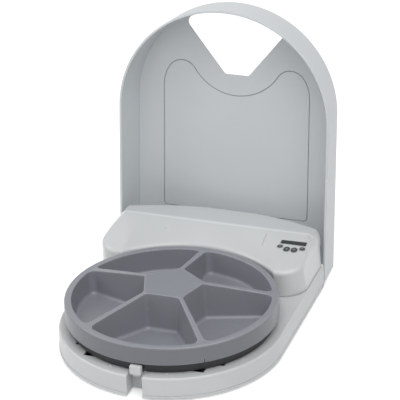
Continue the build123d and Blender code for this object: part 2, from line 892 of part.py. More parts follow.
def board_screws():
    """The four screws that hold the board on its posts."""
    screws = []
    for x, y in board_posts():
        seat = -board_drop - board_thickness
        shank = Pos(x, y, seat + small_screw_length / 2) * Cylinder(small_screw_radius, small_screw_length)
        head = Pos(x, y, seat - small_screw_head / 2) * Cylinder(small_screw_head_radius, small_screw_head)
        screws.append(on_display(shank + head))
    return Compound(screws)


def button(place, size):
    """One push button: a round-ended cap, a flange under the housing and a stem over its switch."""
    cap = extrude(oval(size), button_proud + button_depth)
    top = cap.faces().sort_by(Axis.Z)[-1].edges()
    cap = Pos(0, 0, -button_depth) * fillet(top, button_round)
    flange = extrude(oval(size, button_flange), button_flange_thickness)
    flange = Pos(0, 0, -button_depth - button_flange_thickness - button_travel / 2) * flange
    neck = extrude(oval(size), button_travel)
    neck = Pos(0, 0, -button_depth - button_travel) * neck
    stem_low = -button_depth - button_flange_thickness - button_stem
    stem = Pos(0, 0, stem_low + button_stem) * Cylinder(button_stem_radius, 2 * button_stem)
    piece = cap + neck + flange + stem
    return on_display(Pos(place[0], place[1], 0) * piece)


def tooth_outline(teeth, module, phase):
    """The points of a gear's outline, with curved flanks and a tooth centred on the phase angle."""
    pitch = module * teeth / 2
    ground = pitch * cos(radians(pressure_angle))
    tip = pitch + tooth_addendum * module
    root = pitch - tooth_dedendum * module
    start = max(ground, root)

    def half_angle(radius):
        at_pitch = tan(radians(pressure_angle)) - radians(pressure_angle)
        angle = acos(min(1.0, ground / radius))
        return pi * tooth_fill / (2 * teeth) + at_pitch - (tan(angle) - angle)

    radii = [start + (tip - start) * step / (flank_steps - 1) for step in range(flank_steps)]
    flank = [(root, half_angle(start))] if root < start else []
    flank += [(radius, half_angle(radius)) for radius in radii]
    points = []
    for tooth in range(teeth):
        middle = radians(phase) + 2 * pi * tooth / teeth
        turn = [(radius, middle - half) for radius, half in flank]
        turn += [(radius, middle + half) for radius, half in reversed(flank)]
        points += [(radius * cos(angle), radius * sin(angle)) for radius, angle in turn]
    return points


def gear_body(teeth, module, phase, low, high):
    """A solid gear about its own axis between two heights."""
    points = tooth_outline(teeth, module, phase)
    return slab(make_face(Polyline(*points, close=True)), low, high)


def turntable():
    """The dark turntable: a rimmed plate with a hub below and a five-sided drive boss above."""
    plate = rod(0, 0, turntable_bottom, turntable_rim_top, turntable_radius)
    plate = plate - rod(0, 0, turntable_top, far, turntable_radius - turntable_rim)
    hub_bottom = spindle_boss_top + washer_thickness + body_gap
    plate = plate + rod(0, 0, hub_bottom, turntable_top, turntable_hub_radius)
    reach = drive_boss_inradius / cos(pi / compartments)
    boss_face = RegularPolygon(reach, compartments, rotation=90.0)
    hollow_face = RegularPolygon(reach - 2 * turntable_plate, compartments, rotation=90.0)
    boss = slab(boss_face, turntable_bottom, turntable_top + drive_boss_height)
    boss = boss - slab(hollow_face, turntable_top, far)
    plate = plate + boss
    collar_top = spindle_top + body_gap + turntable_plate / 2
    plate = plate + rod(0, 0, turntable_bottom, collar_top, spindle_boss_radius)
    for place in range(compartments):
        x, y = on_circle(-switch_at[0] + switch_size[0] / 4, 90.0 + 360.0 * place / compartments)
        plate = plate + rod(x, y, turntable_bottom - lobe_height, turntable_top, lobe_radius)
    return plate - rod(0, 0, 0, spindle_top + body_gap, spindle_radius + running_clearance)


def drive_gear():
    """The toothed ring under the turntable, on its hub."""
    low = turntable_bottom - gear_width
    gear = gear_body(drive_teeth, gear_module, idler_direction, low, turntable_bottom)
    return gear - rod(0, 0, 0, far, turntable_hub_radius + pin_fit)


def idler_gear():
    """The double gear between the motor's pinion and the drive gear."""
    small_phase = idler_direction + 180.0 + 180.0 / idler_teeth
    small = gear_body(idler_teeth, gear_module, small_phase, wheel_bottom, turntable_bottom - body_gap)
    wheel = gear_body(wheel_teeth, wheel_module, motor_direction, wheel_bottom, wheel_bottom + wheel_width)
    gear = small + wheel - rod(0, 0, 0, far, idler_pin_radius + running_clearance)
    return Pos(idler_at[0], idler_at[1], 0) * gear


def motor_pinion():
    """The pinion on the motor's shaft."""
    phase = motor_direction + 180.0 + 180.0 / pinion_teeth
    gear = gear_body(pinion_teeth, wheel_module, phase, wheel_bottom, wheel_bottom + wheel_width)
    gear = gear + rod(0, 0, plate_bottom, wheel_bottom + wheel_width + motor_shaft_end, motor_shaft_radius)
    return Pos(motor_at[0], motor_at[1], 0) * gear


def drive_plate():
    """The plate that carries the motor and the idler gear."""
    face = Pos(*plate_centre, 0) * RectangleRounded(*plate_size, plate_corner)
    plate = slab(face, plate_bottom, plate_bottom + plate_thickness)
    plate = plate - rod(*motor_at, 0, far, motor_shaft_radius + loose_gap)
    plate = plate - rod(*idler_at, 0, far, idler_pin_radius + pin_fit)
    for x, y in plate_posts:
        plate = plate - rod(x, y, 0, far, small_screw_radius + pin_fit)
    return plate


def idler_pin():
    """The fixed pin of the idler gear."""
    return rod(*idler_at, plate_bottom, turntable_bottom - 2 * body_gap, idler_pin_radius)


def motor():
    """The flat electric motor under the plate, with a raised boss round its shaft hole."""
    low = plate_bottom - motor_height
    can = rod(*motor_at, low, plate_bottom - body_gap, motor_radius)
    lower = can.edges().sort_by(Axis.Z)[0]
    can = fillet([lower], motor_round)
    return can + rod(*motor_at, plate_bottom - 2 * body_gap, plate_bottom - body_gap, motor_boss_radius)


def spindle():
    """The steel spindle of the turntable, set in the floor plate's boss."""
    return rod(0, 0, casing_bottom, spindle_top, spindle_radius)


def thrust_washer():
    """The washer that the turntable's hub rides on."""
    ring = rod(0, 0, spindle_boss_top, spindle_boss_top + washer_thickness, washer_radius)
    return ring - rod(0, 0, 0, far, spindle_radius + running_clearance)


def position_switch():
    """The switch that feels the turntable's five lobes and tells the timer where the tray stands."""
    x, y = switch_at
    low = casing_bottom + switch_seat
    top = low + switch_size[2]
    body = box_between(
        (x - switch_size[0] / 2, y - switch_size[1] / 2, low),
        (x + switch_size[0] / 2, y + switch_size[1] / 2, top),
    )
    roller_top = turntable_bottom - lobe_height - body_gap
    roller_x = x + switch_size[0] / 4
    roller_z = roller_top - switch_roller_radius
    roller = Pos(roller_x, y, roller_z) * Rot(90, 0, 0) * Cylinder(switch_roller_radius, switch_lever[1])
    reach = switch_lever[0] / 2
    lever = Pos(-reach, 0, 0) * Box(*switch_lever)
    lever = Pos(roller_x, y, roller_z) * Rot(0, -switch_lever_tilt, 0) * lever
    foot_x = roller_x - switch_lever[0] * cos(radians(switch_lever_tilt)) + switch_lever[2]
    foot_top = roller_z - 2 * reach * sin(radians(switch_lever_tilt))
    foot = box_between(
        (foot_x - switch_lever[2], y - switch_lever[1] / 2, top - past),
        (foot_x + switch_lever[2], y + switch_lever[1] / 2, foot_top),
    )
    return body + lever + foot + roller


def pocket_face(z, grow=0.0):
    """One compartment's outline at a height, in front of the axis, grown outward by a wall."""
    lean = tan(radians(pocket_draft))
    outer = pocket_radius - (tray_rim_height - z) * tan(radians(pocket_outer_draft)) + grow
    inner = hub_inradius + (hub_height - z) * lean - grow
    side = divider_half_width + (tray_rim_height - z) * lean - grow
    half = pi / compartments
    start = side / cos(half)
    corner_x = inner * tan(half) - start
    out = 2 * outer
    end_x = out * tan(half) - start
    wedge = make_face(
        Polyline((-corner_x, -inner), (corner_x, -inner), (end_x, -out), (-end_x, -out), close=True)
    )
    face = wedge & Circle(outer)
    corners = face.vertices()
    return Pos(0, 0, z) * fillet(corners, pocket_corner + grow)


def pocket_solid(low, grow=0.0):
    """One compartment as a solid, with its floor's edge rounded."""
    high = hub_height + pocket_rise
    solid = loft([pocket_face(low, grow), pocket_face(high, grow)], ruled=True)
    floor_edges = solid.faces().sort_by(Axis.Z)[0].edges()
    return fillet(floor_edges, pocket_floor_round + grow)


def tray_section(wall):
    """The tray's outside as a turned solid: level hub, sloping dividers, flat rim and skirt."""
    top = hub_height - wall
    rim = tray_rim_height - wall
    r = tray_radius - wall
    low = tray_bottom if wall == 0 else tray_bottom - past
    points = [(0, low), (0, top), (hub_flat_radius, top), (pocket_radius, rim), (r, rim), (r, low)]
    edges = [Line((a[0], 0, a[1]), (b[0], 0, b[1])) for a, b in zip(points, points[1:] + points[:1])]
    return revolve(make_face(edges), Axis.Z)


def tray():
    """The lift-out tray: five compartments, a flat rim and a skirt over the turntable."""
    solid = tray_section(0)
    rim_edges = [
        edge
        for edge in solid.edges()
        if abs(edge.center().Z - tray_rim_height) < near_enough
        and edge.bounding_box().max.X > tray_radius - near_enough
    ]
    solid = fillet(rim_edges, tray_edge_round)
    skin = solid - tray_section(tray_wall) - rod(0, 0, 0, skirt_bottom, far)
    bowl = pocket_solid(tray_bottom, tray_wall)
    hollow = pocket_solid(tray_bottom + tray_wall)
    piece = skin
    for place in range(compartments):
        turn = Rot(0, 0, 360.0 * place / compartments)
        piece = piece + ((turn * bowl) & solid)
    for place in range(compartments):
        turn = Rot(0, 0, 360.0 * place / compartments)
        piece = piece - turn * hollow
        slit = Pos(0, tray_radius, skirt_bottom) * Box(skirt_slit, 3 * tray_wall, 2 * skirt_slit_height)
        piece = piece - turn * slit
    return piece


def lid_plan(radius, z, rear):
    """The lid's D-shaped outline at a height: a half circle in front and straight sides to the rear."""
    edges = [
        ThreePointArc((-radius, 0, z), (0, -radius, z), (radius, 0, z)),
        Line((radius, 0, z), (radius, rear, z)),
        Line((radius, rear, z), (-radius, rear, z)),
        Line((-radius, rear, z), (-radius, 0, z)),
    ]
    return make_face(edges)


def v_opening():
    """The V-shaped opening over the front compartment, with rounded corners."""
    lean = radians(v_half_angle)
    reach = 2 * v_outer_radius
    wide = v_bottom_half_width + reach * sin(lean)
    low = v_bottom_y - reach * cos(lean)
    bottom = [(-v_bottom_half_width, v_bottom_y), (v_bottom_half_width, v_bottom_y)]
    face = make_face(Polyline(*bottom, (wide, low), (-wide, low), close=True)) & Circle(v_outer_radius)
    outer = [v for v in face.vertices() if v.Y < v_bottom_y - margin]
    face = fillet(outer, v_outer_corner)
    inner = [v for v in face.vertices() if v.Y > v_bottom_y - past]
    return fillet(inner, v_inner_corner)


def groove_face(inset=0.0):
    """The two-eared outline that is cut into the panel's inside."""
    half = groove_half_width - inset
    rear = groove_rear_y - inset
    dip_radius = groove_dip_radius + inset
    dip_at = (0.0, groove_dip_y - groove_dip_radius)
    ear = (groove_ear_at[0] - dip_at[0], groove_ear_at[1] - dip_at[1])
    apart = sqrt(ear[0] ** 2 + ear[1] ** 2)
    ear_radius = groove_ear_radius - inset
    joint = (dip_at[0] + ear[0] * dip_radius / apart, dip_at[1] + ear[1] * dip_radius / apart)
    shoulder_radius = groove_shoulder_radius - inset
    shoulder_x = groove_half_width - groove_shoulder_radius
    across = groove_ear_at[0] - shoulder_x
    between = shoulder_radius - ear_radius
    shoulder_y = groove_ear_at[1] + sqrt(between**2 - across**2)
    touch = (
        shoulder_x + across * shoulder_radius / between,
        shoulder_y + (groove_ear_at[1] - shoulder_y) * shoulder_radius / between,
    )
    crown = (groove_ear_at[0], groove_ear_at[1] - ear_radius)
    lean = atan2(touch[1] - shoulder_y, touch[0] - shoulder_x) / 2
    bulge = (shoulder_x + shoulder_radius * cos(lean), shoulder_y + shoulder_radius * sin(lean))
    turn = groove_corner - inset
    near = turn * (1 - cos(radians(45)))
    right = [
        ThreePointArc(joint, crown, touch),
        ThreePointArc(touch, bulge, (half, shoulder_y)),
        Line((half, shoulder_y), (half, rear - turn)),
        ThreePointArc((half, rear - turn), (half - near, rear - near), (half - turn, rear)),
    ]
    left = [mirror(edge, Plane.YZ) for edge in right]
    dip = ThreePointArc((-joint[0], joint[1]), (0, groove_dip_y + inset), joint)
    rear_line = Line((half - turn, rear), (-half + turn, rear))
    return make_face([dip] + right + [rear_line] + left)


def lid_arm():
    """One arm of the closed lid: a plate from the hinge pin to a web inside the skirt's rear end."""
    y = hinge_y
    z = hinge_z
    low = lid_rim_height
    high = hinge_z + arm_tall
    shoulder = on_circle(arm_radius, arm_shoulder_angle)
    profile = [
        (0, y + shoulder[0], z + shoulder[1]),
        (0, y + arm_radius, high),
        (0, lid_rear_y, high),
        (0, lid_rear_y, low),
        (0, y, z - arm_radius),
    ]
    face = make_face(Polyline(*profile, close=True))
    plate = Pos(arm_inner_x, 0, 0) * extrude(face, arm_thickness, dir=(1, 0, 0))
    plate = plate + cross_rod(arm_inner_x, arm_outer_x, y, z, arm_radius)
    web = box_between(
        (arm_inner_x, lid_rear_y - arm_web, low),
        (base_radius - lid_wall, lid_rear_y, high),
    )
    return plate + web


def lid_closed():
    """The lid as it lies closed: drafted skirt, flat panel, V opening, groove and hinge arms."""
    top_radius = base_radius - lid_draft
    outer = loft(
        [lid_plan(base_radius, lid_rim_height, lid_rear_y), lid_plan(top_radius, lid_height, lid_rear_y)],
        ruled=True,
    )
    arms = mirrored_pair(lid_arm())
    web_room = outer
    upper = [
        edge
        for edge in outer.edges()
        if edge.center().Z > lid_height - near_enough and edge.center().Y < lid_rear_y - past
    ]
    outer = fillet(upper, lid_edge_round)
    rise = lid_height - lid_rim_height
    step = lid_draft * (rise - lid_wall) / rise
    inner = loft(
        [
            lid_plan(base_radius - lid_wall, lid_rim_height, lid_rear_y + margin),
            lid_plan(base_radius - lid_wall - step, panel_inside, lid_rear_y + margin),
        ],
        ruled=True,
    )
    lid = outer - inner
    for arm in arms:
        lid = lid + (arm & (web_room + box_between((-arm_outer_x, 0, 0), (arm_outer_x, far, lid_height))))
    bore = pin_radius + running_clearance
    lid = lid - cross_rod(-far, far, hinge_y, hinge_z, bore)
    lid = lid - slab(v_opening(), panel_inside - past, lid_height + past)
    groove = groove_face() - groove_face(groove_width)
    return lid - slab(groove, panel_inside - past, panel_inside + groove_depth)


def opened(piece):
    """A piece of the lid turned about the hinge from closed to open."""
    to_hinge = Pos(0, hinge_y, hinge_z)
    back = Pos(0, -hinge_y, -hinge_z)
    return to_hinge * Rot(-90.0 - lid_lean, 0, 0) * back * piece


def build_parts():
    """Every piece by its name, in the frame of the tray's axis."""
    parts = {
        "base_shell": base_shell(),
        "bottom_cover": bottom_cover(),
        "housing_cover": housing_cover(),
        "battery_door": battery_door(),
        "battery_cells": battery_cells(),
        "battery_contacts": battery_contacts(),
        "rubber_feet": rubber_feet(),
        "casing_screws": casing_screws(),
        "hinge_pins": hinge_pins(),
        "latch": latch(),
        "latch_spring": latch_spring(),
        "display_lens": display_lens(),
        "lcd_module": lcd_module(),
        "timer_board": timer_board(),
        "board_screws": board_screws(),
        "spindle": spindle(),
        "thrust_washer": thrust_washer(),
        "drive_plate": drive_plate(),
        "plate_screws": plate_screws(),
        "idler_pin": idler_pin(),
        "motor": motor(),
        "motor_pinion": motor_pinion(),
        "idler_gear": idler_gear(),
        "position_switch": position_switch(),
        "turntable": turntable(),
        "drive_gear": drive_gear(),
        "tray": tray(),
        "lid": opened(lid_closed()),
    }
    for name, place, size in button_list:
        parts[name] = button(place, size)
    return parts


def middle_y(parts):
    """Half way between the frontmost and rearmost points of the open feeder."""
    boxes = [piece.bounding_box() for piece in parts.values()]
    return (min(box.min.Y for box in boxes) + max(box.max.Y for box in boxes)) / 2


parts = build_parts()
tray_axis_y = -middle_y(parts)
os.makedirs("parts", exist_ok=True)
for name, piece in parts.items():
    export_step(Pos(0, tray_axis_y, 0) * piece, "parts/" + name + ".step")
print("tray axis y", round(tray_axis_y, 4))
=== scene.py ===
import bpy
import json
from math import cos, pi, radians, sin
from mathutils import Matrix, Vector

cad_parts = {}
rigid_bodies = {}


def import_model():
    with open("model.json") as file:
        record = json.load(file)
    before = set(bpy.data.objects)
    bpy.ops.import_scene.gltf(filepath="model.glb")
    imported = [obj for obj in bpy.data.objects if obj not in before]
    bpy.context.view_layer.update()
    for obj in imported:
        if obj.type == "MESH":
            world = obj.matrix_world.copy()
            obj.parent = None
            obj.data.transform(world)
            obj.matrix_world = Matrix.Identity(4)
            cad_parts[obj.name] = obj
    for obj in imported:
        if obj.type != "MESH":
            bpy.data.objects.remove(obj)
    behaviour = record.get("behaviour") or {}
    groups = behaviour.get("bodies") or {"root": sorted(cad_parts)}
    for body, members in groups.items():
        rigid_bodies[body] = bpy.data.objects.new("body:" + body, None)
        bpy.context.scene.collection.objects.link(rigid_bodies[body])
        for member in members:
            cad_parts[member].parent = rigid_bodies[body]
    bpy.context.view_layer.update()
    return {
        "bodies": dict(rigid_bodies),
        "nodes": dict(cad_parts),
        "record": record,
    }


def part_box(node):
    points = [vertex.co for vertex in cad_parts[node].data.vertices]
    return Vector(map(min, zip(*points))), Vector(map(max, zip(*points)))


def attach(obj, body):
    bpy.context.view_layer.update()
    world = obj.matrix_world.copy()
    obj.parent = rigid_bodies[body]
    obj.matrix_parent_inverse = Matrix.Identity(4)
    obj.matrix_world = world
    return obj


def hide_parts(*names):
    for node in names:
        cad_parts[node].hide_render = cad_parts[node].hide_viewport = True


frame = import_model()
nodes = frame["nodes"]

# The photograph's view: a long lens from the front right, a little turned about its own axis.
# The place that it aims at is given from the tray's axis, in metres, with Z from the floor.
joints = {joint["name"]: joint for joint in frame["record"]["behaviour"]["joints"]}
tray_axis = Vector(joints["turntable_spin"]["pos_m"])
view_azimuth = radians(19.14)
view_elevation = radians(26.18)
view_roll = radians(-1.52)
view_distance = 2.529
view_lens = 208.6
view_sensor = 36.0
aim_right = 0.0001
aim_behind_tray = 0.1
aim_height = 0.1245
view_aim = Vector((aim_right, tray_axis.y + aim_behind_tray, aim_height))

look = Vector((
    -sin(view_azimuth) * cos(view_elevation),
    cos(view_azimuth) * cos(view_elevation),
    -sin(view_elevation),
))
level = Vector((cos(view_azimuth), sin(view_azimuth), 0))
upward = level.cross(look)
right = level * cos(view_roll) + upward * sin(view_roll)
top = upward * cos(view_roll) - level * sin(view_roll)
camera_data = bpy.data.cameras.new("view")
camera_data.lens = view_lens
camera_data.sensor_width = view_sensor
camera = bpy.data.objects.new("view", camera_data)
bpy.context.collection.objects.link(camera)
turn = Matrix((right, top, -look)).transposed()
camera.matrix_world = Matrix.Translation(view_aim - look * view_distance) @ turn.to_4x4()
bpy.context.scene.camera = camera
bpy.context.scene.view_settings.view_transform = "Standard"


# The room: a plain pale floor that runs out of sight, an even white surround and three large soft lamps.
# The camera sees the floor and the surround as white, and the floor still takes the feeder's shadow.
floor_size = 9.0
floor_cells = 8
floor_colour = (0.80, 0.80, 0.80, 1.0)
floor_roughness = 0.9
floor_glow = 0.48
surround_light = 0.40
white = (1.0, 1.0, 1.0, 1.0)
black = (0.0, 0.0, 0.0, 1.0)
# Each lamp's name, its place and width in metres, and its power in watts.
lamp_list = [
    ("key_lamp", (0.9, -1.3, 2.4), 2.2, 44.0),
    ("top_lamp", (0.0, -0.2, 2.8), 2.4, 9.0),
    ("left_lamp", (-2.2, -0.7, 1.5), 1.8, 20.0),
]


class Value:
    """A socket of a finish. Arithmetic on it adds Math nodes."""

    def __init__(self, finish, socket):
        self.finish = finish
        self.socket = socket

    def maths(self, operation, first, second):
        return self.finish.node("ShaderNodeMath", {"operation": operation}, {0: first, 1: second})

    def __add__(self, other):
        return self.maths("ADD", self, other)

    def __radd__(self, other):
        return self.maths("ADD", other, self)

    def __sub__(self, other):
        return self.maths("SUBTRACT", self, other)

    def __rsub__(self, other):
        return self.maths("SUBTRACT", other, self)

    def __mul__(self, other):
        return self.maths("MULTIPLY", self, other)

    def __gt__(self, other):
        return self.maths("GREATER_THAN", self, other)

    def __abs__(self):
        return self.finish.node("ShaderNodeMath", {"operation": "ABSOLUTE"}, {0: self})


class Finish:
    """A material in the making: a shader and the nodes that vary it over a surface."""

    # The colour sockets of a Mix node share their names with others, so they go by number.
    mix_amount, mix_first, mix_second, mix_result = 0, 6, 7, 2
    crevice_samples = 8
    crevice_gain = 2.2
    crevice_threshold = 0.6
    edge_samples = 4
    edge_contrast = 4.0

    def __init__(self, tree_owner):
        tree_owner.use_nodes = True
        self.tree = tree_owner.node_tree

    def node(self, kind, settings=None, values=None, output=0):
        """Adds a node with its settings, then the values or links of its sockets."""
        node = self.tree.nodes.new(kind)
        for name, setting in (settings or {}).items():
            setattr(node, name, setting)
        for name, value in (values or {}).items():
            self.put(node.inputs[name], value)
        return Value(self, node.outputs[output])

    def put(self, socket, value):
        """Gives a socket a plain value or a link."""
        if isinstance(value, Value):
            self.tree.links.new(value.socket, socket)
        else:
            socket.default_value = value

    def shade(self, **values):
        """Gives the shader's sockets their values, by name with underscores for spaces."""
        shader = self.tree.nodes["Principled BSDF"]
        for name, value in values.items():
            self.put(shader.inputs[name.replace("_", " ").title().replace("Ior", "IOR")], value)

    def mix(self, amount, first, second):
        """A colour between two colours."""
        return self.node(
            "ShaderNodeMix",
            {"data_type": "RGBA"},
            {self.mix_amount: amount, self.mix_first: first, self.mix_second: second},
            output=self.mix_result,
        )

    def seen(self):
        """1 for what the camera sees, straight, in a mirror or through a window, and 0 for lighting."""
        path = self.node("ShaderNodeLightPath")
        outputs = path.socket.node.outputs
        total = path + Value(self, outputs["Is Glossy Ray"]) + Value(self, outputs["Is Transmission Ray"])
        return self.node("ShaderNodeMath", {"operation": "MINIMUM"}, {0: total, 1: 1.0})

    def place(self):
        """The place on the piece, in metres."""
        return self.node("ShaderNodeTexCoord", output="Object")

    def part(self, axis, vector):
        """A vector's part along X, Y or Z."""
        return self.node("ShaderNodeSeparateXYZ", None, {0: vector}, output=axis)

    def noise(self, size, detail=2.0):
        """Cloudy variation about as coarse as a size in metres, from 0 to 1."""
        return self.node(
            "ShaderNodeTexNoise", None, {"Vector": self.place(), "Scale": 1.0 / size, "Detail": detail}
        )

    def crevice(self, reach):
        """1 in grooves and seams that are narrower than a reach in metres, 0 on open faces: where painted
        shade goes.
        """
        open_share = self.node(
            "ShaderNodeAmbientOcclusion", {"samples": self.crevice_samples}, {"Distance": reach}, output="AO"
        )
        return (1.0 - open_share) * self.crevice_gain - self.crevice_threshold

    def rounded(self, radius):
        """The normal with its edges rounded over a radius in metres."""
        return self.node("ShaderNodeBevel", {"samples": self.edge_samples}, {"Radius": radius})

    def edges(self, rounded):
        """1 along the edges that a rounded normal smooths, 0 on flat stretches."""
        flat = self.node("ShaderNodeNewGeometry", output="Normal")
        alike = self.node(
            "ShaderNodeVectorMath", {"operation": "DOT_PRODUCT"}, {0: rounded, 1: flat}, output="Value"
        )
        return (1.0 - alike) * self.edge_contrast


def new_finish(name):
    """A finish with its material, ready for its nodes."""
    material = bpy.data.materials.new(name)
    return Finish(material), material


bpy.ops.object.select_all(action="DESELECT")
bpy.ops.mesh.primitive_grid_add(x_subdivisions=floor_cells, y_subdivisions=floor_cells, size=floor_size)
floor = bpy.context.object
floor.name = "floor"
finish, material = new_finish("floor_paper")
finish.shade(
    base_color=floor_colour,
    roughness=floor_roughness,
    specular_ior_level=0.0,
    emission_color=finish.mix(finish.seen(), black, white),
    emission_strength=floor_glow,
)
floor.data.materials.append(material)

surround = bpy.context.scene.world or bpy.data.worlds.new("surround")
bpy.context.scene.world = surround
finish = Finish(surround)
background = finish.tree.nodes["Background"]
finish.put(background.inputs["Color"], white)
finish.put(background.inputs["Strength"], surround_light + finish.seen() * (1.0 - surround_light))

for name, place, size, power in lamp_list:
    lamp_data = bpy.data.lights.new(name, "AREA")
    lamp_data.size = size
    lamp_data.energy = power
    lamp = bpy.data.objects.new(name, lamp_data)
    bpy.context.collection.objects.link(lamp)
    lamp.location = place
    lamp.rotation_euler = (view_aim - Vector(place)).to_track_quat("-Z", "Y").to_euler()


# The lower casing, floor plate, drive plate, battery door and latch are injection moulded in one pale grey
# plastic with a fine matte grain. The screws pull the floor plate up against the casing.
casing_colour = (0.580, 0.594, 0.600)
cloud_size = 0.06
cloud_detail = 3.0
cloud_roughness = 0.08
grain_size = 0.0007
grain_detail = 1.0
grain_height = 0.0002
speck_share = 0.10
speck_tint = 0.85
edge_polish = 0.10
skin_roughness = 0.16


def tint(colour, factor):
    """A colour made lighter or darker, with its alpha."""
    return tuple(min(1.0, part * factor) for part in colour[:3]) + (1.0,)


def dress(material, *names):
    """Puts a material on CAD nodes, all over."""
    for name in names:
        for slot in nodes[name].material_slots:
            slot.material = material


def moulded(
    name, colour, roughness, grain,
    cloud=0.03, edge_highlight_gain=1.06, edge_radius=0.0006, seam=0.001, seam_shade_tint=0.50,
    wall=None, wall_tint=1.0, polish=0.0,
):
    """Moulded plastic: cloudy colour, fine grain, handled edges with a painted highlight, painted shade in
    its seams.

    A wall, where one is given, is a mask for a painted highlight or painted shade, with its own tint.
    Polish is the weight of a thin glossy skin.
    """
    finish, material = new_finish(name)
    clouds = finish.noise(cloud_size, cloud_detail)
    specks = finish.noise(grain_size, grain_detail)
    rounded = finish.rounded(edge_radius)
    edge = finish.edges(rounded)
    body = finish.mix(clouds, tint(colour, 1.0 - cloud), tint(colour, 1.0 + cloud))
    body = finish.mix(specks * speck_share, body, tint(colour, speck_tint))
    # Where a wall mask is given, its stretch is tinted: a painted highlight or painted shade.
    if wall:
        body = finish.mix(wall(finish), body, tint(colour, wall_tint))
    # Edges are lightened: a painted highlight.
    body = finish.mix(edge, body, tint(colour, edge_highlight_gain))
    # Seams and grooves are darkened: painted shade.
    body = finish.mix(finish.crevice(seam), body, tint(colour, seam_shade_tint))
    bump = finish.node(
        "ShaderNodeBump",
        None,
        {"Strength": grain, "Distance": grain_height, "Height": specks, "Normal": rounded},
    )
    finish.shade(
        base_color=body,
        roughness=roughness + clouds * cloud_roughness - edge * edge_polish,
        coat_weight=polish,
        coat_roughness=skin_roughness,
        normal=bump,
    )
    return material


# Its edges carry a painted highlight and its seams painted shade.
casing_plastic = moulded(
    "casing_plastic", casing_colour, roughness=0.42, grain=0.12,
    edge_highlight_gain=1.18, edge_radius=0.0010, polish=0.2,
)
dress(casing_plastic, "base_shell", "bottom_cover", "battery_door", "latch", "drive_plate")

# The rear housing is a shell over the batteries and the timer, in the same plastic with a little more
# gloss, tinted a little darker as painted shade. Its lip, horns and crease are softly rounded, and the
# paler band along the crease is a painted highlight.
housing_shaded_colour = tint(casing_colour, 0.96)
crease_highlight_width = 0.0038
crease_highlight_tint = 1.20
housing_corners = [vertex.co for vertex in nodes["housing_cover"].data.vertices]
crease = max(housing_corners, key=lambda corner: corner.z)


def crease_highlight(finish):
    """Painted highlight: 1 along the straight crease between the sloped face and the rear strip, fading to 0
    beside it.
    """
    away = abs(finish.part("Y", finish.place()) - crease.y)
    band = finish.node(
        "ShaderNodeMapRange",
        {"interpolation_type": "SMOOTHSTEP"},
        {"Value": away, "From Min": 0.0, "From Max": crease_highlight_width, "To Min": 1.0, "To Max": 0.0},
    )
    height = finish.part("Z", finish.place())
    return band * (height > crease.z - crease_highlight_width)


housing_plastic = moulded(
    "housing_plastic", housing_shaded_colour, roughness=0.30, grain=0.10,
    edge_highlight_gain=1.22, edge_radius=0.0045, seam=0.0014, wall=crease_highlight, wall_tint=crease_highlight_tint, polish=0.5,
)
dress(housing_plastic, "housing_cover")

# The lid is one moulding in the same grey, a little smoother, that swings on two pins. Its colour is
# made paler as painted light, and the groove round its inner face is darkened as painted shade.
lid_lightened_colour = (0.622, 0.650, 0.668)
lid_plastic = moulded(
    "lid_plastic", lid_lightened_colour, roughness=0.38, grain=0.08,
    edge_highlight_gain=1.14, edge_radius=0.0010, seam_shade_tint=0.05,
)
dress(lid_plastic, "lid")

# The tray lifts out to be washed. It is a thin moulding in a darker, cooler grey with a satin face. Its
# outer wall is darkened as painted shade, and its rims and dividers carry a strong painted highlight.
tray_colour = (0.240, 0.249, 0.276)
tray_low, tray_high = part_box("tray")
outer_wall_depth = 0.004
outer_wall_start = (tray_high[0] - tray_low[0]) / 2 - outer_wall_depth
outer_wall_shade_tint = 0.68
steep_below = 0.5


def outer_wall_shade(finish):
    """Painted shade's mask: 1 on the steep faces furthest from the tray's axis, and 0 elsewhere."""
    from_axis = finish.node(
        "ShaderNodeVectorMath",
        {"operation": "SUBTRACT"},
        {0: finish.place(), 1: (tray_axis.x, tray_axis.y, 0.0)},
    )
    flat = finish.node("ShaderNodeVectorMath", {"operation": "MULTIPLY"}, {0: from_axis, 1: (1.0, 1.0, 0.0)})
    radius = finish.node("ShaderNodeVectorMath", {"operation": "LENGTH"}, {0: flat}, output="Value")
    upward_share = finish.part("Z", finish.node("ShaderNodeTexCoord", output="Normal"))
    return (radius > outer_wall_start) * (1.0 - (upward_share > steep_below))


tray_plastic = moulded(
    "tray_plastic", tray_colour, roughness=0.30, grain=0.05,
    cloud=0.02, edge_highlight_gain=1.75, edge_radius=0.0022, wall=outer_wall_shade, wall_tint=outer_wall_shade_tint,
)
dress(tray_plastic, "tray")

# The turntable carries the tray and turns on the spindle. It is moulded in a near-black grey, and so is
# the switch below it that feels its lobes.
turntable_colour = (0.022, 0.023, 0.026)
# Its edges carry a painted highlight.
turntable_plastic = moulded(
    "turntable_plastic", turntable_colour, roughness=0.42, grain=0.10, edge_highlight_gain=1.6
)
dress(turntable_plastic, "turntable", "position_switch")

# The gears and the thrust washer are moulded in natural nylon, slightly waxy. The ring gear is on the
# turntable's hub, the double gear on its pin and the pinion on the motor's shaft.
nylon_colour = (0.72, 0.70, 0.63)
nylon = moulded("nylon", nylon_colour, roughness=0.38, grain=0.05)
dress(nylon, "drive_gear", "idler_gear", "motor_pinion", "thrust_washer")

# The four feet are soft black rubber, moulded in a matte tool and a little dusty. They lie face to face
# with the floor plate.
rubber_colour = (0.035, 0.035, 0.036)
# Their edges carry a painted highlight.
rubber = moulded("rubber", rubber_colour, roughness=0.78, grain=0.30, cloud=0.12, edge_highlight_gain=1.8)
dress(rubber, "rubber_feet")

# The screws, spindle and pins are turned or headed steel with bright zinc plating. The screws hold the
# floor plate, the circuit board and the drive plate, and the pins carry the lid and the double gear.
zinc_colour = (0.66, 0.66, 0.67)
patch_size = 0.012
patch_detail = 3.0
patch_dark = 0.90
patch_light = 1.05
patch_roughness = 0.12
line_size = 0.0004
line_detail = 2.0
line_strength = 0.10
line_height = 0.0001
metal_edge = 0.0003
metal_edge_polish = 0.08


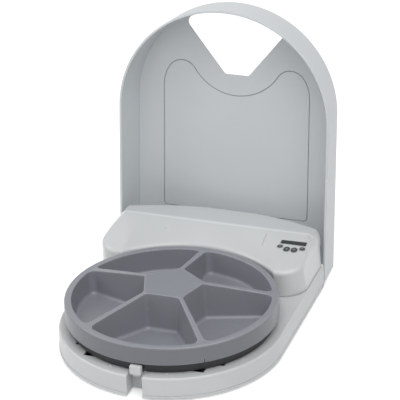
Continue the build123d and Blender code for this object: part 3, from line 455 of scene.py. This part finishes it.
def plated(name, colour, roughness):
    """Plated steel: metal with fine drawn lines and dull patches."""
    finish, material = new_finish(name)
    clouds = finish.noise(patch_size, patch_detail)
    lines = finish.noise(line_size, line_detail)
    rounded = finish.rounded(metal_edge)
    edge = finish.edges(rounded)
    body = finish.mix(clouds, tint(colour, patch_dark), tint(colour, patch_light))
    bump = finish.node(
        "ShaderNodeBump",
        None,
        {"Strength": line_strength, "Distance": line_height, "Height": lines, "Normal": rounded},
    )
    finish.shade(
        base_color=body,
        metallic=1.0,
        roughness=roughness + clouds * patch_roughness - edge * metal_edge_polish,
        normal=bump,
    )
    return material


zinc = plated("zinc", zinc_colour, roughness=0.28)
dress(zinc, "casing_screws", "board_screws", "plate_screws", "hinge_pins", "spindle", "idler_pin")

# The motor is a flat one in a deep-drawn steel can, a little duller than the screws. It is under the drive
# plate, with the pinion on its shaft.
can_colour = (0.50, 0.50, 0.51)
can_steel = plated("can_steel", can_colour, roughness=0.34)
dress(can_steel, "motor")

# The latch spring is a short coil of plated steel wire that pushes the latch outward. It stands between
# its stop and the pocket in the latch's bar.
spring_low, spring_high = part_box("latch_spring")
spring_low, spring_high = Vector(spring_low), Vector(spring_high)
spring_width = spring_high.x - spring_low.x
spring_wire = spring_width * 0.16
spring_turns = 9
spring_start = ((spring_low.x + spring_high.x) / 2, spring_high.y, (spring_low.z + spring_high.z) / 2)
forwards = (0, -1, 0)
wire_sides = 10
steps_per_turn = 20
weld_distance = 0.00001
smooth_angle = radians(50)


def wound(name, radius, wire, turns, length, start, direction):
    """A coil of round wire, wound by a screw from a small ring, with its first turn at the start."""
    bpy.ops.object.select_all(action="DESELECT")
    bpy.ops.mesh.primitive_circle_add(vertices=wire_sides, radius=wire / 2, location=(radius, 0, wire / 2))
    coil = bpy.context.object
    coil.name = name
    bpy.ops.object.mode_set(mode="EDIT")
    bpy.ops.mesh.select_all(action="SELECT")
    bpy.ops.transform.rotate(value=pi / 2, orient_axis="X", center_override=(radius, 0, wire / 2))
    bpy.ops.object.mode_set(mode="OBJECT")
    bpy.ops.object.transform_apply(location=True, rotation=True, scale=True)
    screw = coil.modifiers.new("winding", "SCREW")
    screw.angle = 2 * pi
    screw.iterations = turns
    screw.screw_offset = (length - wire) / turns
    screw.steps = steps_per_turn
    screw.render_steps = steps_per_turn
    bpy.ops.object.modifier_apply(modifier="winding")
    bpy.ops.object.mode_set(mode="EDIT")
    bpy.ops.mesh.select_all(action="SELECT")
    bpy.ops.mesh.remove_doubles(threshold=weld_distance)
    bpy.ops.mesh.select_all(action="DESELECT")
    bpy.ops.mesh.select_non_manifold()
    bpy.ops.mesh.fill()
    bpy.ops.mesh.select_all(action="SELECT")
    bpy.ops.mesh.normals_make_consistent(inside=False)
    bpy.ops.object.mode_set(mode="OBJECT")
    coil.rotation_euler = Vector(direction).to_track_quat("Z", "Y").to_euler()
    coil.location = start
    bpy.ops.object.transform_apply(location=True, rotation=True, scale=True)
    bpy.ops.object.shade_smooth_by_angle(angle=smooth_angle)
    return coil


latch_coil = wound(
    "latch_coil",
    spring_width / 2 - spring_wire / 2,
    spring_wire,
    spring_turns,
    spring_high.y - spring_low.y,
    spring_start,
    forwards,
)
latch_coil.data.materials.append(zinc)
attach(latch_coil, "base")
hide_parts("latch_spring")

# The batteries are four round cells in a printed film: a dark body with a copper band at the capped end.
# They lie end to end in two rows, in the floor plate's box.
cell_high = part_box("battery_cells")[1]
cell_dark = (0.030, 0.032, 0.036, 1.0)
cell_copper = (0.52, 0.27, 0.12, 1.0)
cell_scuffed = (0.1, 0.1, 0.1, 1.0)
cell_cap_length = 0.009
cell_cloud_size = 0.02
scuff_share = 0.15
film_edge = 0.0004
film_roughness = 0.24
film_roughness_spread = 0.10
copper_metal = 0.6
film_gloss = 0.3
finish, cell_film = new_finish("cell_film")
across = abs(finish.part("X", finish.place()))
clouds = finish.noise(cell_cloud_size)
in_band = across > cell_high[0] - cell_cap_length
film = finish.mix(in_band, cell_dark, cell_copper)
finish.shade(
    base_color=finish.mix(clouds * scuff_share, film, cell_scuffed),
    roughness=film_roughness + clouds * film_roughness_spread,
    metallic=in_band * copper_metal,
    coat_weight=film_gloss,
    normal=finish.rounded(film_edge),
)
dress(cell_film, "battery_cells")

# The battery contacts are nickel-plated steel. Each is a spring on a small plate, at an outer end of the
# two rows of cells.
contact_colour = (0.72, 0.70, 0.66)
nickel = plated("nickel", contact_colour, roughness=0.22)
dress(nickel, "battery_contacts")

# The timer's circuit board has green solder resist over copper tracks and small pale pads. Four screws
# hold it on its posts under the housing's sloped face.
board_green = (0.012, 0.105, 0.040, 1.0)
board_track = (0.020, 0.160, 0.065, 1.0)
board_pad = (0.62, 0.60, 0.52, 1.0)
tracks_per_metre = 260.0
track_offset = 0.35
track_gap = 0.06
pads_per_metre = 300.0
pad_reach = 0.12
board_cloud_size = 0.01
board_roughness = 0.30
board_roughness_spread = 0.12
pad_metal = 0.8
finish, solder_resist = new_finish("solder_resist")
tracks = finish.node(
    "ShaderNodeTexBrick",
    {"offset": track_offset},
    {"Vector": finish.place(), "Scale": tracks_per_metre, "Mortar Size": track_gap},
    output=1,
)
pads = finish.node("ShaderNodeTexVoronoi", None, {"Vector": finish.place(), "Scale": pads_per_metre})
is_pad = 1.0 - (pads > pad_reach)
clouds = finish.noise(board_cloud_size)
finish.shade(
    base_color=finish.mix(is_pad, finish.mix(tracks, board_green, board_track), board_pad),
    roughness=board_roughness + clouds * board_roughness_spread,
    metallic=is_pad * pad_metal,
)
dress(solder_resist, "timer_board")

# The display is a grey-green liquid crystal face that stands on the board. The clear window over it is
# smoked dark and lies flush with the sloped face.
crystal_colour = (0.215, 0.250, 0.205)
crystal = moulded("crystal", crystal_colour, roughness=0.30, grain=0.02, cloud=0.04)
dress(crystal, "lcd_module")
window_colour = (0.030, 0.036, 0.036, 1.0)
window_haze = (0.05, 0.06, 0.06, 1.0)
window_cover = 0.80
window_cloud_size = 0.01
haze_share = 0.2
window_edge = 0.0003
window_roughness = 0.10
window_roughness_spread = 0.06
window_gloss = 0.4
finish, smoked_window = new_finish("smoked_window")
clouds = finish.noise(window_cloud_size)
finish.shade(
    base_color=finish.mix(clouds * haze_share, window_colour, window_haze),
    roughness=window_roughness + clouds * window_roughness_spread,
    alpha=window_cover,
    coat_weight=window_gloss,
    normal=finish.rounded(window_edge),
)
dress(smoked_window, "display_lens")

# The four buttons are dark grey soft-touch mouldings that stand a little proud of the housing. Each has a
# flange under the housing and a stem over its switch.
button_colour = (0.055, 0.062, 0.062)
# Their edges carry a painted highlight and their seams painted shade.
button_plastic = moulded(
    "button_plastic", button_colour, roughness=0.50, grain=0.15,
    edge_highlight_gain=1.5, edge_radius=0.0004, seam_shade_tint=0.30,
)
button_names = [name for name in frame["bodies"] if name.startswith("button_")]
dress(button_plastic, *button_names)

# Each button carries a small pale arrowhead in raised ink. It stands a hair above the button's top and
# points its own way.
small_arrow = 0.0011
large_arrow = 0.0014
# Each arrowhead's button, the way that it points and its size in metres.
arrow_list = [
    ("button_right", 0.0, small_arrow),
    ("button_up", pi / 2, large_arrow),
    ("button_left", pi, small_arrow),
    ("button_down", -pi / 2, large_arrow),
]
arrow_height = 0.00016
arrow_sink = 0.00004
arrow_corner = 0.0003
arrow_corner_steps = 4
arrow_colour = (0.30, 0.32, 0.32)
arrow_ink = moulded("arrow_ink", arrow_colour, roughness=0.45, grain=0.05, edge_radius=0.0001)
upper_above = 0.5
level_within = 0.00001


def top_face(name):
    """The frame of a CAD piece's uppermost flat face: X to the right, Z out, the face's middle as origin."""
    piece = nodes[name]
    place = piece.matrix_world
    upper = [face for face in piece.data.polygons if (place.to_3x3() @ face.normal).z > upper_above]
    out = place.to_3x3() @ max(upper, key=lambda face: face.area).normal
    corners = [place @ vertex.co for vertex in piece.data.vertices]
    highest = max(corner.dot(out) for corner in corners)
    flat = [corner for corner in corners if highest - corner.dot(out) < level_within]
    middle = sum(flat, Vector()) / len(flat)
    across = Vector((out.z, 0, -out.x)).normalized()
    axes = Matrix((across, out.cross(across), out)).transposed()
    return Matrix.Translation(middle) @ axes.to_4x4()


for button, heading, size in arrow_list:
    bpy.ops.object.select_all(action="DESELECT")
    bpy.ops.mesh.primitive_circle_add(
        vertices=3, radius=size, fill_type="NGON", location=(0, 0, -arrow_sink)
    )
    arrow = bpy.context.object
    arrow.name = button + "_arrow"
    bpy.ops.object.mode_set(mode="EDIT")
    bpy.ops.mesh.select_all(action="SELECT")
    bpy.ops.transform.rotate(value=heading - pi / 2, orient_axis="Z", center_override=(0, 0, 0))
    bpy.ops.mesh.bevel(offset=arrow_corner, segments=arrow_corner_steps, affect="VERTICES")
    bpy.ops.mesh.select_all(action="SELECT")
    bpy.ops.mesh.extrude_region_move(TRANSFORM_OT_translate={"value": (0, 0, arrow_height + arrow_sink)})
    bpy.ops.mesh.select_all(action="SELECT")
    bpy.ops.mesh.normals_make_consistent(inside=False)
    bpy.ops.object.mode_set(mode="OBJECT")
    arrow.matrix_world = top_face(button) @ arrow.matrix_world
    bpy.ops.object.transform_apply(location=True, rotation=True, scale=True)
    arrow.data.materials.append(arrow_ink)
    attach(arrow, button)
